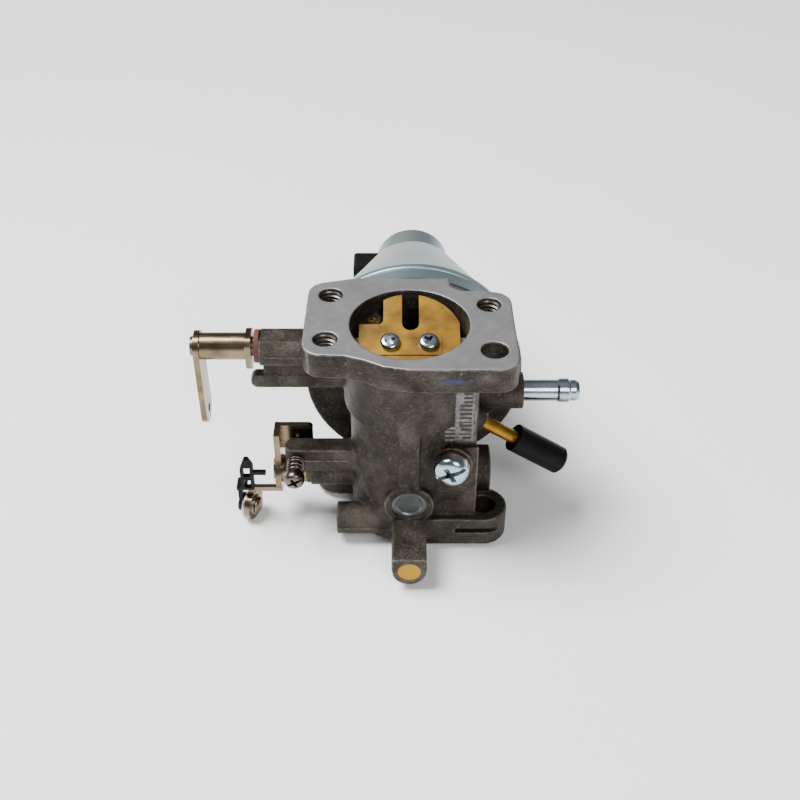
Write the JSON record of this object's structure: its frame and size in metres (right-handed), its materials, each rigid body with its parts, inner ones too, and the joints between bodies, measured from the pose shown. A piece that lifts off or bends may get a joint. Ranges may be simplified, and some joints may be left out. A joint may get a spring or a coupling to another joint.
{
  "type": "carburetor",
  "caption": "Single-barrel float carburetor with butterfly choke and throttle, adjusting screws, float bowl and fuel shut-off solenoid.",
  "frame": {"origin": "the bore axis at the engine-side mounting face", "axes": "+Z along the bore from the engine face to the air-cleaner face, +Y towards the float bowl, +X towards the fuel inlet"},
  "size_m": [0.1017, 0.1128, 0.0635],
  "materials": {
    "cast_alloy": "cast",
    "brass": "satin",
    "gold_passivate": "satin",
    "bright_zinc": "bright",
    "zinc_steel": "satin",
    "nickel_plate": "bright",
    "steel": "satin",
    "welch_grey": "satin",
    "copper": "satin",
    "felt_seal": "matte",
    "seal_bronze": "satin",
    "black_plastic": "matte",
    "black_rubber": "matte",
    "gasket": "matte",
    "float_foam": "matte",
    "valve_rubber": "matte",
    "bush_steel": "satin"
  },
  "bodies": {
    "root": {"carburetor_body": "cast_alloy", "air_jet": "brass", "choke_shaft_seal": "felt_seal", "throttle_shaft_seal": "seal_bronze", "throttle_end_plug": "steel", "welch_plug": "welch_grey", "mixture_plug": "brass", "passage_screw": "bright_zinc", "copper_washer": "copper", "fuel_inlet_tube": "bright_zinc", "vent_tube": "brass", "bowl_gasket": "gasket", "float_bowl": "zinc_steel", "bowl_washer": "copper", "solenoid_body": "zinc_steel", "solenoid_connector": "black_plastic", "main_nozzle": "brass", "main_jet": "brass", "pilot_jet": "brass", "needle_seat": "brass", "float_pin": "steel"},
    "choke": {"choke_shaft": "steel", "choke_plate": "gold_passivate", "choke_plate_screws": "bright_zinc", "choke_stop_plate": "nickel_plate", "choke_spacer": "nickel_plate", "choke_arm": "nickel_plate"},
    "throttle": {"throttle_shaft": "steel", "throttle_plate": "brass", "throttle_plate_screws": "bright_zinc", "throttle_lever": "nickel_plate", "throttle_spacer": "nickel_plate", "linkage_bush": "bush_steel"},
    "link_clip": {"linkage_clip": "black_plastic"},
    "idle_stop": {"idle_speed_screw": "steel", "idle_speed_spring": "steel"},
    "mixture": {"idle_mixture_screw": "steel", "idle_mixture_spring": "steel"},
    "float_arm": {"float": "float_foam"},
    "inlet_needle": {"needle_valve": "valve_rubber"},
    "plunger": {"solenoid_plunger": "black_rubber"},
    "cap": {"vent_cap": "black_rubber"}
  },
  "joints": [
    {"name": "choke_turn", "type": "hinge", "parent": "root", "child": "choke", "pos_m": [0, 0, 0.055], "axis": [1, 0, 0], "range_deg": [0, 71]},
    {"name": "throttle_turn", "type": "hinge", "parent": "root", "child": "throttle", "pos_m": [0, 0, 0.0133], "axis": [-1, 0, 0], "range_deg": [0, 78]},
    {"name": "link_clip_turn", "type": "hinge", "parent": "throttle", "child": "link_clip", "pos_m": [-0.0436, -0.0034, 0.0028], "axis": [0.9397, -0.3419, 0], "range_deg": [-15, 15]},
    {"name": "idle_stop_back_off", "type": "slide", "parent": "root", "child": "idle_stop", "axis": [0, -1, 0], "range_m": [0, 0.004], "deforming": ["idle_speed_spring"]},
    {"name": "mixture_turn", "type": "hinge", "parent": "root", "child": "mixture", "pos_m": [0, -0.02, 0.005], "axis": [0, -1, 0], "range_deg": [-180, 720]},
    {"name": "float_swing", "type": "hinge", "parent": "root", "child": "float_arm", "pos_m": [0.025, 0.0256, 0.0336], "axis": [0, 0, -1], "range_deg": [0, 6]},
    {"name": "needle_lift", "type": "slide", "parent": "root", "child": "inlet_needle", "axis": [0, 1, 0], "range_m": [0, 0.0006]},
    {"name": "plunger_pull", "type": "slide", "parent": "root", "child": "plunger", "axis": [0, 1, 0], "range_m": [0, 0.002], "stiffness_N_per_m": 60, "springref_m": -0.002},
    {"name": "cap_pull_off", "type": "slide", "parent": "root", "child": "cap", "axis": [0.8384, 0, -0.545], "range_m": [0, 0.02]}
  ],
  "couplings": [
    {"joint": "needle_lift", "follows": "float_swing", "m_per_rad": 0.0048}
  ]
}
